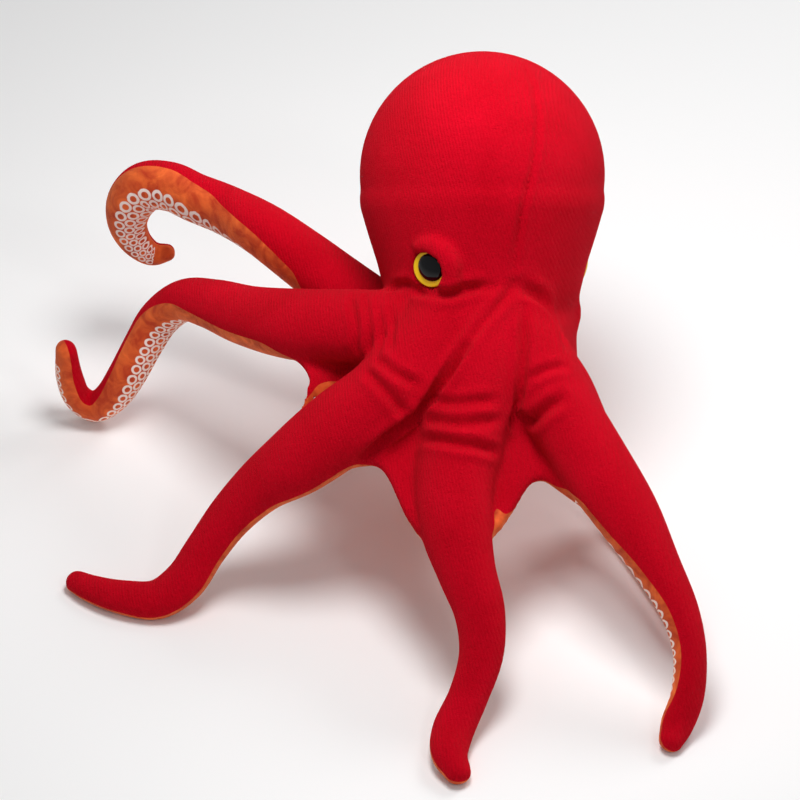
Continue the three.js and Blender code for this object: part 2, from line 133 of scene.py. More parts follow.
# a lump of gathered plush beside the far eye: points and radius
GATHER = [(50, 52, 152), (55, 41, 139), (52, 31, 127), (47, 24, 118)]
GATHER_RADIUS = 10.0

VOXEL = 1.75
FLOOR_GAP = 0.3
SHRINK, SWELL = 0.5, -0.52  # the two pulls of a round of smoothing that keeps the size
FOLD_STEP = 2.0  # between the samples along a fold or seam
FOLD_RIM = 0.45  # how high the plush stands beside a fold, as a share of its depth
WEB_ORANGE = -1.5  # how far the orange shows above the middle of a web's edge
# where along each arm, past its root joint, its own seam takes over from the web's
SEAM_STARTS = {"side_left": -34, "rear_left": -24, "back_left": -24}
SEAM_START = -6
BEND_START, BEND_END = 12.0, 58.0  # of an arm's bend, along it from the root joint
SEAM_TURNOVER = 30.0  # the length of arm over which its own seam takes over
ARM_EDGE = 16.0  # how far from an arm its own seam still counts
SEAM_SOFTENING = 12  # rounds
JOIN_WIDTH = 14.0  # of the rounding between two arms
STITCH_SPACING = 4.2
STITCH_SIZE = (1.5, 0.5, 0.45)  # half sizes: along the seam, across it and out
ARM_REACH = 14.0  # of an arm's own skin, out from its round section
FABRIC_THICKNESS = 1.2

EYE_SINK = 2.4
EYE_BAND = 1.6
EYE_SEAT = 3.6  # where the dome is cut flat for the pupil
PUPIL_SIZE = 9.2
PUPIL_HEIGHT = 3.8
PUPIL_SHIFT = (1.2, 1.2)
LID_SPAN = {"right": (-75, 125), "left": (30, 150)}  # degrees round the eye
LID_THICKNESS = {"right": 6.6, "left": 3.4}
LID_RISE = {"right": 4.2, "left": 1.4}
SOCKET_DEPTH = 0.8  # of the plush under a disc's edge
SOCKET_EDGE = 4.0
SOCKET_FLARE = 14.0  # how far the plush may stand up at the outer edge of a socket
SOCKET_RADII = (9.4, 11.8)  # inner edge of a socket, under a lid and where the disc is bare
LID_CLEARANCE = (16, 26)  # from an eye's axis, between sharp and fully rounded joins

# printed rings: rows as (place across, shift along), counted in rings
RING_PITCH = 0.27  # of the arm's width
RING_ROWS = [(-0.5, 0.25), (0.36, 0.75), (1.2, 0.25)]
RING_MIDDLE = 0.36
RING_LINE = 0.15
PRINT_START = 14.0  # of the print, past an arm's root joint
PRINT_END = 9.0  # of the print, before the arm's tip

# linear colours
PLUSH_DARK = (0.5, 0.0, 0.006)
PLUSH_MID = (0.66, 0.001, 0.012)
PLUSH_LIGHT = (0.85, 0.002, 0.022)
VELOUR_DARK = (0.5, 0.035, 0.006)
VELOUR_MID = (0.8, 0.09, 0.012)
VELOUR_LIGHT = (0.95, 0.17, 0.03)
PRINT_WHITE = (0.95, 0.8, 0.74)
EYE_YELLOW = (1.0, 0.62, 0.0)


def hinge_offset():
    """From the body's centre line to the frame's origin, read from a joint."""
    hinge = ROUTES["front_right"][HINGE_POINT]
    pos = JOINT_OF["front_right_arm"]["pos_m"]
    return np.array([pos[0] / MM - hinge[0], pos[1] / MM - hinge[1], 0.0])


BODY_AXIS = hinge_offset()


def to_frame(points):
    """Points in mm from the body's centre line, as metres in the frame."""
    return (np.asarray(points, float) + BODY_AXIS) * MM


def smoothstep(low, high, value):
    t = np.clip((value - low) / (high - low), 0.0, 1.0)
    return t * t * (3 - 2 * t)


def unit(vector):
    vector = np.asarray(vector, float)
    return vector / np.linalg.norm(vector, axis=-1, keepdims=True)


# ---------------------------------------------------------------- routes
def smooth_route(points, step=ROUTE_STEP):
    """A centripetal Catmull-Rom line through the points, carrying every column."""
    rows = np.array(points, float)
    rows = np.vstack([2 * rows[0] - rows[1], rows, 2 * rows[-1] - rows[-2]])
    gaps = np.linalg.norm(np.diff(rows[:, :3], axis=0), axis=1) ** 0.5
    knots = np.concatenate([[0], np.cumsum(gaps)])
    samples = []
    for i in range(1, len(rows) - 2):
        count = max(2, int(round(np.linalg.norm(rows[i + 1, :3] - rows[i, :3]) / step)))
        for t in np.linspace(knots[i], knots[i + 1], count, endpoint=False):
            samples.append(spline_point(rows[i - 1:i + 3], knots[i - 1:i + 3], t))
    samples.append(rows[-2])
    return np.array(samples)


def spline_point(points, knots, t):
    """The point at t on the middle stretch between four points, by repeated blending."""
    def blend(a, b, start, end):
        return a * (end - t) / (end - start) + b * (t - start) / (end - start)

    first = [blend(points[i], points[i + 1], knots[i], knots[i + 1]) for i in range(3)]
    second = [blend(first[i], first[i + 1], knots[i], knots[i + 2]) for i in range(2)]
    return blend(*second, knots[1], knots[2])


class Arm:
    """An arm's centre line with its frames, widths and distances along it."""

    def __init__(self, name, route):
        self.name = name
        self.body = f"{name}_arm"
        rows = smooth_route(route)
        self.centre = rows[:, :3]
        self.width = rows[:, 3]
        self.length = np.concatenate(
            [[0], np.cumsum(np.linalg.norm(np.diff(self.centre, axis=0), axis=1))])
        self.along = unit(np.gradient(self.centre, axis=0))
        side_sign = np.sign(route[0][0] - route[-1][0])
        up = np.array([0.0, 0.0, 1.0])
        rises = []
        for tangent, roll in zip(self.along, rows[:, 4]):
            up = unit(up - tangent * (up @ tangent))
            angle = math.radians(roll) * side_sign
            rises.append(up * math.cos(angle) + np.cross(tangent, up) * math.sin(angle))
        self.rise = np.array(rises)
        self.side = np.cross(self.along, self.rise)
        hinge = np.array(route[HINGE_POINT][:3], float)
        self.hinge_at = self.length[np.argmin(np.linalg.norm(self.centre - hinge, axis=1))]
        self.joint = JOINT_OF[self.body]

    def at(self, distance):
        """The station nearest a distance along the arm."""
        return int(np.argmin(np.abs(self.length - distance)))

    def nearest(self, points):
        """For each point: station, distance along, and place across the section."""
        index = np.zeros(len(points), int)
        for start in range(0, len(points), 20000):
            part = points[start:start + 20000]
            gap = ((part[:, None, :] - self.centre[None]) ** 2).sum(2)
            index[start:start + 20000] = gap.argmin(1)
        offset = points - self.centre[index]
        along = self.length[index] + (offset * self.along[index]).sum(1)
        across = (offset * self.side[index]).sum(1)
        height = (offset * self.rise[index]).sum(1)
        return index, along, across, height


ARMS = {name: Arm(name, route) for name, route in ROUTES.items()}


# ---------------------------------------------------------------- plain mesh building
def ring_faces(rings, sides):
    """Quads between rings that follow each other, with a fan point at each end."""
    faces = []
    for j in range(rings - 1):
        for i in range(sides):
            a, b = j * sides + i, j * sides + (i + 1) % sides
            faces.append((a, b, b + sides, a + sides))
    first, last = rings * sides, rings * sides + 1
    start = (rings - 1) * sides
    for i in range(sides):
        faces.append((i, first, (i + 1) % sides))
        faces.append((start + i, start + (i + 1) % sides, last))
    return faces


def closed_loft(rings):
    rings = np.asarray(rings, float)
    points = np.vstack([rings.reshape(-1, 3), rings[0].mean(0), rings[-1].mean(0)])
    faces = ring_faces(len(rings), rings.shape[1])
    a, b, c = points[faces[0][0]], points[faces[0][1]], points[faces[0][2]]
    outward = np.cross(b - a, c - a) @ ((a + c) / 2 - rings[:2].mean((0, 1)))
    if outward < 0:
        faces = [tuple(reversed(face)) for face in faces]
    return points, faces


def arm_rings(arm, sides=28):
    """Sections of an arm with a rounded end at the root and at the tip."""
    angles = np.linspace(0, 2 * math.pi, sides, endpoint=False)
    stations = [(k, 0.0, 1.0) for k in range(len(arm.centre))]
    ends = [(math.cos(t), math.sin(t)) for t in np.radians(END_ANGLES)]
    root = [(0, -shift, scale) for shift, scale in ends]
    tip = [(len(arm.centre) - 1, shift, scale) for shift, scale in reversed(ends)]
    rings = []
    for k, shift, scale in root + stations + tip:
        width = arm.width[k]
        centre = arm.centre[k] + arm.along[k] * shift * width * SECTION_HEIGHT
        rings.append(centre
                     + np.outer(np.cos(angles) * width / 2 * scale, arm.side[k])
                     + np.outer(np.sin(angles) * width * SECTION_HEIGHT * scale, arm.rise[k]))
    return rings


def on_head_axis(drop, radius, turn):
    """A point round the head's axis; turn is in radians from the front."""
    return (HEAD_CENTRE - drop * HEAD_UP + radius * math.cos(turn) * HEAD_FRONT
            + radius * math.sin(turn) * HEAD_SIDE)


def head_radius(drop):
    """The head's radius at a distance down its axis from the ball's middle."""
    profile = NECK_PROFILE
    drop = np.asarray(drop, float)
    ball = np.sqrt(np.clip(HEAD_RADIUS ** 2 - drop ** 2, 0, None))
    neck = np.interp(drop, [d for d, _ in profile], [r for _, r in profile])
    return np.where(drop < NECK_START, ball, np.maximum(ball, neck))


def head_rings():
    drops = np.concatenate([
        -HEAD_RADIUS * np.cos(np.radians(np.arange(4, 92, 6))), np.arange(4, 132, 6)])
    turns = np.linspace(0, 2 * math.pi, RING_SIDES, endpoint=False)
    return [[on_head_axis(drop, float(head_radius(drop)), turn) for turn in turns]
            for drop in drops]


def rim_point(bearing):
    """The web edge at a bearing in degrees."""
    starts = [edge[0] for edge in WEB_EDGES]
    wrapped = (bearing - starts[0]) % 360
    edges = WEB_EDGES + [(starts[0] + 360,) + WEB_EDGES[0][1:]]
    index = max(i for i in range(len(WEB_EDGES)) if edges[i][0] - starts[0] <= wrapped + 1e-9)
    low, high = edges[index], edges[index + 1]
    part = (wrapped - (low[0] - starts[0])) / (high[0] - low[0])
    ease = (1 - math.cos(math.pi * part)) / 2
    reach, height = (low[i] + (high[i] - low[i]) * ease for i in (1, 2))
    angle = math.radians(bearing)
    return np.array([reach * math.sin(angle), -reach * math.cos(angle), height])


def body_rings():
    """The skirt from the neck down to the web edges, and the belly below it."""
    bearings = np.linspace(-180, 180, RING_SIDES, endpoint=False)
    rim = np.array([rim_point(bearing) for bearing in bearings])
    neck = np.array([on_head_axis(*SKIRT_TOP, math.radians(bearing)) for bearing in bearings])
    belly = np.array([(BELLY_RADIUS * math.sin(math.radians(b)),
                       -BELLY_RADIUS * math.cos(math.radians(b)), BELLY_HEIGHT) for b in bearings])
    up = np.array([0, 0, WEB_THICKNESS / 2])
    rings = []
    for share in np.linspace(0, 1, 9):
        sag = -SKIRT_SAG * math.sin(math.pi * share)
        ring = neck * (1 - share) + (rim + up) * share
        rings.append(ring + np.array([0, 0, sag]))
    rings.append(rim - up)
    for share in (0.35, 0.7, 1.0):
        rings.append((rim - up) * (1 - share) + belly * share)
    return rings


def make_object(name, points, faces):
    mesh = bpy.data.meshes.new(name)
    mesh.from_pydata([tuple(p) for p in points], [], faces)
    mesh.update()
    made = bpy.data.objects.new(name, mesh)
    bpy.context.scene.collection.objects.link(made)
    return made


def evaluated_arrays(obj):
    """A modified object's points and faces, with the object then removed."""
    graph = bpy.context.evaluated_depsgraph_get()
    mesh = bpy.data.meshes.new_from_object(obj.evaluated_get(graph))
    points = np.zeros(len(mesh.vertices) * 3)
    mesh.vertices.foreach_get("co", points)
    loops = np.zeros(len(mesh.loops), int)
    mesh.loops.foreach_get("vertex_index", loops)
    starts = np.zeros(len(mesh.polygons), int)
    mesh.polygons.foreach_get("loop_start", starts)
    faces = np.array(np.split(loops, starts[1:]), dtype=int)
    bpy.data.meshes.remove(mesh)
    bpy.data.objects.remove(obj)
    return points.reshape(-1, 3), faces


def joined_skin():
    """The head, body, arms and eyelids as one skin of small even quads."""
    shapes = [closed_loft(head_rings()), closed_loft(body_rings())]
    shapes += [closed_loft(arm_rings(arm)) for arm in ARMS.values()]
    shapes += [closed_loft(lid_rings(side)) for side in EYES] + [closed_loft(gather_rings())]
    points, faces = [], []
    for shape_points, shape_faces in shapes:
        start = sum(len(p) for p in points)
        points.append(shape_points)
        faces += [tuple(i + start for i in face) for face in shape_faces]
    blank = make_object("skin_blank", to_frame(np.vstack(points)), faces)
    remesh = blank.modifiers.new("even", "REMESH")
    remesh.mode = "VOXEL"
    remesh.voxel_size = VOXEL * MM
    remesh.use_smooth_shade = True
    skin_points, skin_faces = evaluated_arrays(blank)
    return biggest_part(skin_points / MM - BODY_AXIS, skin_faces)


def connected(edges, label):
    """Gives all points that edges join the same label."""
    while True:
        low = label[edges].min(1)
        new = label.copy()
        np.minimum.at(new, edges[:, 0], low)
        np.minimum.at(new, edges[:, 1], low)
        new = new[new]
        if (new == label).all():
            return label
        label = new


def biggest_part(points, quads):
    """Leaves out the specks and closed pockets that a remesh can make."""
    edges = np.vstack([quads[:, [0, 1]], quads[:, [1, 2]], quads[:, [2, 3]]])
    label = connected(edges, np.arange(len(points)))
    names, counts = np.unique(label, return_counts=True)
    keep = label[quads[:, 0]] == names[counts.argmax()]
    used, back = np.unique(quads[keep], return_inverse=True)
    return points[used], back.reshape(-1, 4)


# ---------------------------------------------------------------- shaping the skin
class Skin:
    """The joined skin as arrays, with what is known about each of its points."""

    def __init__(self, points, quads):
        self.points = points
        self.quads = quads
        edges = np.vstack([quads[:, [0, 1]], quads[:, [1, 2]], quads[:, [2, 3]], quads[:, [3, 0]]])
        self.edges = np.unique(np.sort(edges, axis=1), axis=0)
        self.degree = np.bincount(self.edges.ravel(), minlength=len(points)).astype(float)

    def neighbour_mean(self, values):
        total = np.zeros_like(values)
        a, b = self.edges.T
        for column in range(values.shape[1]):
            total[:, column] = (
                np.bincount(a, values[b, column], len(values))
                + np.bincount(b, values[a, column], len(values)))
        return total / self.degree[:, None]

    def smooth(self, rounds, weight):
        for _ in range(rounds):
            move = self.neighbour_mean(self.points) - self.points
            self.points = self.points + SHRINK * weight[:, None] * move

    def smooth_evenly(self, rounds):
        """Smooths small bumps and keeps the size."""
        for _ in range(rounds):
            for pull in (SHRINK, SWELL):
                move = self.neighbour_mean(self.points) - self.points
                self.points = self.points + pull * move

    def spread(self, values, rounds):
        values = np.asarray(values, float)[:, None]
        for _ in range(rounds):
            values = 0.5 * values + 0.5 * self.neighbour_mean(values)
        return values[:, 0]

    def normals(self):
        corner = self.points[self.quads]
        face = np.cross(corner[:, 2] - corner[:, 0], corner[:, 3] - corner[:, 1])
        total = np.zeros_like(self.points)
        for k in range(4):
            for column in range(3):
                total[:, column] += np.bincount(
                    self.quads[:, k], face[:, column], len(self.points))
        return unit(total)

    def search_tree(self):
        return BVHTree.FromPolygons([tuple(p) for p in self.points], self.quads.tolist())

    def locate(self):
        """Finds which arm each point belongs to and where on it the point is."""
        count = len(self.points)
        self.gap = np.full((count, len(ARMS)), 1e9)
        columns = {key: np.zeros((count, len(ARMS))) for key in ("along", "across", "height")}
        for k, arm in enumerate(ARMS.values()):
            index, along, across, height = arm.nearest(self.points)
            half = arm.width[index] / 2
            tall = arm.width[index] * SECTION_HEIGHT
            shape = np.sqrt((across / half) ** 2 + (height / tall) ** 2)
            self.gap[:, k] = (shape - 1) * (half + tall) / 2
            for key, value in (("along", along), ("across", across), ("height", height)):
                columns[key][:, k] = value
        self.arm = self.gap.argmin(1)
        pick = (np.arange(count), self.arm)
        self.along, self.across, self.height = (
            columns[key][pick] for key in ("along", "across", "height"))
        self.arm_gap = self.gap[pick]
        hinges = np.array([arm.hinge_at for arm in ARMS.values()])
        self.past_hinge = self.along - hinges[self.arm]


def soften_joins():
    """Rounds the inner corners where the arms, webs and head meet."""
    two = np.sort(skin.gap, axis=1)[:, :2]
    near_two = np.exp(-(np.clip(two[:, 1], 0, None) / JOIN_WIDTH) ** 2)
    drop = (HEAD_CENTRE - skin.points) @ HEAD_UP
    near_body = (1 - smoothstep(-20, 25, skin.past_hinge)) * smoothstep(30, 70, drop)
    weight = np.clip(near_body + 0.4 * near_two * (skin.past_hinge < 20), 0, 1)
    for side in EYES:
        radial, height, _ = eye_coordinates(side, skin.points)
        weight *= smoothstep(*LID_CLEARANCE, np.hypot(radial, height))
    skin.smooth(16, weight)


# ---------------------------------------------------------------- folds and seams
# The seam over the head, and its line on down between the two front arms, in mm.
FACE_SEAM = [(26, 112, 280), (33, 69, 274), (29, 36, 251), (23, 21, 232), (18, 4, 193)]
FACE_LINE = FACE_SEAM + [(25, -13, 177), (24, -31, 167), (22, -51, 145), (17, -58, 122)]
# Lines pressed into the plush: how far either side they reach, how deep, and points in mm.
FOLDS = [
    (2.2, 1.5, FACE_SEAM),
    (2.6, 2.4, [(18, 2, 190), (13, -6, 185), (-3, -24, 175), (-24, -45, 154)]),
    (3.4, 6.0, [(-13, -34, 166), (-24, -45, 154), (-43, -57, 131), (-58, -64, 124),
                (-76, -70, 110)]),
    (2.8, 3.6, [(25, -8, 178), (24, -31, 167), (23, -44, 155), (22, -51, 145), (17, -58, 122)]),
    (4.0, 3.6, [(22, 3, 188), (29, 2, 183), (38, 2, 175), (46, -4, 163), (52, -22, 158)]),
    (3.2, 3.5, [(-49, 16, 176), (-37, 3, 182), (-24, -4, 186), (-9, -2, 189), (3, -2, 190)]),
    (2.8, 2.0, [(-61, 26, 167), (-55, 22, 172), (-48, 16, 178)]),
    (3.0, 2.6, [(-70, -30, 156), (-56, -45, 155), (-43, -50, 150)]),
    (3.2, 2.8, [(-76, -36, 152), (-61, -55, 147), (-49, -62, 134)]),
    (2.6, 2.2, [(-84, 21, 164), (-81, -2, 159), (-81, -12, 143)]),
    (2.6, 2.4, [(-76, 18, 166), (-73, -4, 160), (-74, -17, 147)]),
    (2.6, 2.2, [(-69, 13, 167), (-65, -7, 162), (-66, -26, 156)]),
    (2.6, 1.8, [(-61, 9, 168), (-58, -9, 164), (-59, -28, 161)]),
    (3.0, 2.2, [(-37, -52, 140), (-19, -62, 145), (6, -60, 146)]),
    (3.0, 2.0, [(-38, -59, 128), (-16, -74, 138), (9, -68, 136)]),
    (3.2, 3.4, [(-41, -69, 121), (-19, -84, 131), (8, -81, 121)]),
    (3.6, 4.0, [(16, -58, 129), (29, -62, 130), (47, -60, 146)]),
    (2.8, 2.0, [(27, -48, 152), (37, -45, 157), (50, -40, 157)]),
]


def fold_depth(tree, width, points):
    """How strongly each skin point lies in a fold: 1 on its line, 0 away from it."""
    line = [tree.find_nearest(Vector(p))[0] for p in smooth_route(points, FOLD_STEP)]
    line = np.array([tuple(p) for p in line])
    near = np.full(len(skin.points), 1e9)
    at = np.zeros(len(skin.points), int)
    low, high = line.min(0) - 4 * width, line.max(0) + 4 * width
    inside = np.flatnonzero(((skin.points > low) & (skin.points < high)).all(1))
    gap = np.linalg.norm(skin.points[inside, None] - line[None], axis=2)
    near[inside], at[inside] = gap.min(1), gap.argmin(1)
    ease = smoothstep(0, 0.2, at / len(line)) * smoothstep(0, 0.2, 1 - at / len(line))
    profile = np.exp(-(near / width) ** 2) - FOLD_RIM * np.exp(-((near - 2 * width) / width) ** 2)
    return profile * (0.25 + 0.75 * ease)


def press_folds():
    tree = skin.search_tree()
    depth = np.zeros(len(skin.points))
    for width, deep, points in FOLDS:
        depth += deep * fold_depth(tree, width, points)
    skin.points = skin.points - skin.normals() * depth[:, None]


def web_height(points):
    """The height of the middle of the web under or over each point."""
    bearings = np.linspace(-180, 180, 361)
    rim = np.array([rim_point(bearing) for bearing in bearings])
    bearing = np.degrees(np.arctan2(points[:, 0], -points[:, 1]))
    reach = np.interp(bearing, bearings, np.hypot(rim[:, 0], rim[:, 1]))
    edge = np.interp(bearing, bearings, rim[:, 2])
    share = np.clip(np.hypot(points[:, 0], points[:, 1]) / reach, 0, 1.2)
    return PARTING_HEIGHT + (edge - PARTING_HEIGHT) * share


def one_piece(field, share):
    """Gives islands under a share of the biggest one, of either sign, to what surrounds them."""
    field = field.copy()
    for sign in (1, -1):
        inside = field * sign > 0
        edges = skin.edges[inside[skin.edges].all(1)]
        label = connected(edges, np.arange(len(field)))
        names, counts = np.unique(label[inside], return_counts=True)
        small = names[counts < share * counts.max()]
        field[inside & np.isin(label, small)] = -sign * 0.3
    return field


def red_side():
    """Positive on the red cover and negative on the orange one, in mm from the seam."""
    starts = np.array([SEAM_STARTS.get(name, SEAM_START) for name in ARMS])[skin.arm]
    on_arm = 1 - smoothstep(0, ARM_EDGE, skin.arm_gap)
    on_arm = on_arm * smoothstep(0, SEAM_TURNOVER, skin.past_hinge - starts)
    web = skin.points[:, 2] - web_height(skin.points) - WEB_ORANGE
    seam = skin.spread(skin.height * on_arm + web * (1 - on_arm), SEAM_SOFTENING)
    return one_piece(seam, 0.01)


def root_plane(arm):
    """The start and end of the stretch over which an arm bends at its root."""
    start = arm.centre[arm.at(arm.hinge_at + BEND_START)]
    end = arm.centre[arm.at(arm.hinge_at + BEND_END)]
    return start, end


def left_side():
    """Positive on the left of the seam that runs over the head and down its front."""
    line = np.array(sorted(FACE_LINE, key=lambda point: point[2]), float)
    return skin.points[:, 0] - np.interp(skin.points[:, 2], line[:, 2], line[:, 0])


def arm_side(k, arm):
    """Positive on the part of the skin that moves with this arm."""
    start, end = root_plane(arm)
    plane = (skin.points - start) @ unit(end - start)
    others = np.delete(skin.gap, k, axis=1).min(1)
    return one_piece(np.minimum.reduce(
        [plane, others - skin.gap[:, k], ARM_REACH - skin.gap[:, k]]), 0.05)


# ---------------------------------------------------------------- cutting
def cut(patch, key):
    """Splits a patch's triangles where a field crosses zero; returns its two sides."""
    points, triangles = patch["points"], patch["triangles"]
    field = patch[key]
    sign = field >= 0
    whole = sign[triangles].all(1) | ~sign[triangles].any(1)
    keep, sides = triangles[whole], sign[triangles[whole][:, 0]]
    made, ends, shares, split, split_sides = {}, [], [], [], []

    def crossing(a, b):
        i, j = min(a, b), max(a, b)
        if (i, j) not in made:
            made[i, j] = len(points) + len(ends)
            ends.append((i, j))
            shares.append(np.clip(field[i] / (field[i] - field[j]), 0.02, 0.98))
        return made[i, j]

    for triangle in triangles[~whole].tolist():
        ups = [sign[v] for v in triangle]
        lone = ups.index(sum(ups) == 1)
        a, b, c = triangle[lone], triangle[(lone + 1) % 3], triangle[(lone + 2) % 3]
        ab, ac = crossing(a, b), crossing(a, c)
        split += [(a, ab, ac), (ab, b, c), (ab, c, ac)]
        split_sides += [sign[a], not sign[a], not sign[a]]
    whole_patch = {name: value for name, value in patch.items() if name != "triangles"}
    if split:
        (i, j), t = np.array(ends).T, np.array(shares)
        for name, value in whole_patch.items():
            t_shape = t.reshape((-1,) + (1,) * (value.ndim - 1))
            whole_patch[name] = np.concatenate([value, value[i] * (1 - t_shape) + value[j] * t_shape])
        keep = np.vstack([keep, split])
        sides = np.concatenate([sides, split_sides])
    return [only_used(whole_patch, keep[sides == side]) for side in (True, False)]


def only_used(columns, triangles):
    used, back = np.unique(triangles, return_inverse=True)
    patch = {name: value[used] for name, value in columns.items()}
    patch["triangles"] = back.reshape(-1, 3)
    return patch


def open_edges(triangles):
    """The edges that only one triangle has, in that triangle's order."""
    edges = np.vstack([triangles[:, [0, 1]], triangles[:, [1, 2]], triangles[:, [2, 0]]])
    size = triangles.max() + 1
    forward = edges[:, 0].astype(np.int64) * size + edges[:, 1]
    backward = edges[:, 1].astype(np.int64) * size + edges[:, 0]
    return edges[~np.isin(forward, backward)]


def cover(name, patch, material):
    """A closed sheet of fabric from a patch, with an inner side and turned-in edges."""
    points, normals, triangles = patch["points"], patch["normal"], patch["triangles"]
    count = len(points)
    inner = points - normals * FABRIC_THICKNESS
    edges = open_edges(triangles)
    strips = np.vstack([
        np.column_stack([edges[:, 1], edges[:, 0], edges[:, 0] + count]),
        np.column_stack([edges[:, 1], edges[:, 0] + count, edges[:, 1] + count])])
    faces = np.vstack([triangles, triangles[:, ::-1] + count, strips])
    made = make_object(name, to_frame(np.vstack([points, inner])), faces.tolist())
    mesh = made.data
    mesh.polygons.foreach_set("use_smooth", [True] * len(faces))
    mesh.normals_split_custom_set_from_vertices(np.vstack([normals, -normals]).tolist())
    prints = mesh.uv_layers.new(name="print")
    loops = np.zeros(len(mesh.loops), int)
    mesh.loops.foreach_get("vertex_index", loops)
    flat = np.column_stack([patch["print_u"], patch["print_v"]])[loops % count]
    prints.data.foreach_set("uv", flat.ravel())
    room = mesh.attributes.new("print_room", "FLOAT", "POINT")
    room.data.foreach_set("value", np.tile(patch["print_room"], 2))
    mesh.materials.append(material)
    return made


def print_coordinates():
    """Each point's place in the rows of rings, counted in rings, and its room inside the print."""
    u, v = np.zeros(len(skin.points)), np.zeros(len(skin.points))
    room = np.zeros(len(skin.points))
    for k, arm in enumerate(ARMS.values()):
        on = skin.arm == k
        pitch = RING_PITCH * arm.width
        count = np.concatenate([[0], np.cumsum(np.diff(arm.length) / pitch[1:])])
        count -= np.interp(arm.hinge_at + PRINT_START, arm.length, count)
        u[on] = np.interp(skin.along[on], arm.length, count)
        v[on] = skin.across[on] / np.interp(skin.along[on], arm.length, pitch)
        room[on] = np.minimum(skin.past_hinge[on] - PRINT_START,
                              arm.length[-1] - PRINT_END - skin.along[on])
    return u, v, room


def build_covers(materials):
    normals = skin.normals()
    ring_u, ring_v, room = print_coordinates()
    quads = skin.quads
    patch = {
        "points": skin.points, "normal": normals,
        "print_u": ring_u, "print_v": ring_v, "print_room": room,
        "red": red_side(), "left": left_side(),
        "triangles": np.vstack([quads[:, [0, 1, 2]], quads[:, [0, 2, 3]]])}
    for k, (name, arm) in enumerate(ARMS.items()):
        patch[name] = arm_side(k, arm)
    for name, arm in ARMS.items():
        moving, patch = cut(patch, name)
        start, end = (to_frame(p) for p in root_plane(arm))
        for side, slot, node in ((0, "red_plush", "cover"), (1, "orange_velour", "underside")):
            piece = cover(f"{name}_arm_{node}_looks", cut(moving, "red")[side], materials[slot])
            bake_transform(piece)
            finish_soft(piece, slot, f"{name}_arm_{node}")
    body, belly = cut(patch, "red")
    for side, half in zip(("left", "right"), cut(body, "left")):
        piece = cover(f"{side}_cover_looks", half, materials["red_plush"])
        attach(piece, "body")
        finish_soft(piece, "red_plush", f"head_{side}_panel", f"{side}_eyelid", "body_cover")
    piece = cover("belly_panel_looks", belly, materials["orange_velour"])
    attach(piece, "body")
    finish_soft(piece, "orange_velour", "belly_panel")


def finish_soft(piece, slot, *nodes):
    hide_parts(*nodes)


# ---------------------------------------------------------------- stitches
def stitch_tree(material):
    """Geometry nodes: a row of short thread stitches along a curve."""
    tree = bpy.data.node_groups.new("stitch_row", "GeometryNodeTree")
    tree.interface.new_socket("Line", in_out="INPUT", socket_type="NodeSocketGeometry")
    spacing = tree.interface.new_socket("Spacing", in_out="INPUT", socket_type="NodeSocketFloat")
    tree.interface.new_socket("Stitches", in_out="OUTPUT", socket_type="NodeSocketGeometry")
    source, sink = tree.nodes.new("NodeGroupInput"), tree.nodes.new("NodeGroupOutput")
    line = add_node(tree, "GeometryNodeResampleCurve", {
        "Curve": source.outputs["Line"], "Length": source.outputs["Spacing"]}, mode="LENGTH")
    bead = add_node(tree, "GeometryNodeMeshUVSphere", {"Segments": 10, "Rings": 6, "Radius": 1.0})
    tangent = add_node(tree, "GeometryNodeInputTangent")
    turn = add_node(tree, "FunctionNodeAlignRotationToVector",
                    {"Vector": tangent.outputs[0]}, axis="X")
    row = add_node(tree, "GeometryNodeInstanceOnPoints", {
        "Points": line.outputs[0], "Instance": bead.outputs[0], "Rotation": turn.outputs[0],
        "Scale": [size * MM for size in STITCH_SIZE]})
    solid = add_node(tree, "GeometryNodeRealizeInstances", {"Geometry": row.outputs[0]})
    shown = add_node(tree, "GeometryNodeSetMaterial",
                     {"Geometry": solid.outputs[0], "Material": material})
    tree.links.new(shown.outputs[0], sink.inputs["Stitches"])
    return tree, spacing.identifier


def add_face_stitches(material):
    tree = skin.search_tree()
    line = [tree.find_nearest(Vector(p))[0] for p in smooth_route(FACE_SEAM, FOLD_STEP)]
    curve = bpy.data.curves.new("face_seam_line", "CURVE")
    curve.dimensions = "3D"
    spline = curve.splines.new("POLY")
    spline.points.add(len(line) - 1)
    for point, place in zip(spline.points, to_frame(line)):
        point.co = (*place, 1)
    blank = bpy.data.objects.new("face_seam_line", curve)
    bpy.context.scene.collection.objects.link(blank)
    modifier = blank.modifiers.new("stitches", "NODES")
    modifier.node_group, spacing = stitch_tree(material)
    modifier[spacing] = STITCH_SPACING * MM
    bpy.context.view_layer.update()
    graph = bpy.context.evaluated_depsgraph_get()
    mesh = bpy.data.meshes.new_from_object(blank.evaluated_get(graph))
    bpy.data.objects.remove(blank)
    stitches = bpy.data.objects.new("face_seam_stitches", mesh)
    bpy.context.scene.collection.objects.link(stitches)
    mesh.polygons.foreach_set("use_smooth", [True] * len(mesh.polygons))
    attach(stitches, "body")


# ---------------------------------------------------------------- eyes
def eye_frame(side):
    """An eye's centre on the head and its axes: across, up and out."""
    drop, turn = EYES[side]
    turn = math.radians(turn)
    radius = float(head_radius(drop))
    slope = float(head_radius(drop + 4) - head_radius(drop - 4)) / 8
    out = unit(math.cos(turn) * HEAD_FRONT + math.sin(turn) * HEAD_SIDE + slope * HEAD_UP)
    across = unit(np.cross(HEAD_UP, out))
    return on_head_axis(drop, radius - EYE_SINK, turn), across, np.cross(out, across), out


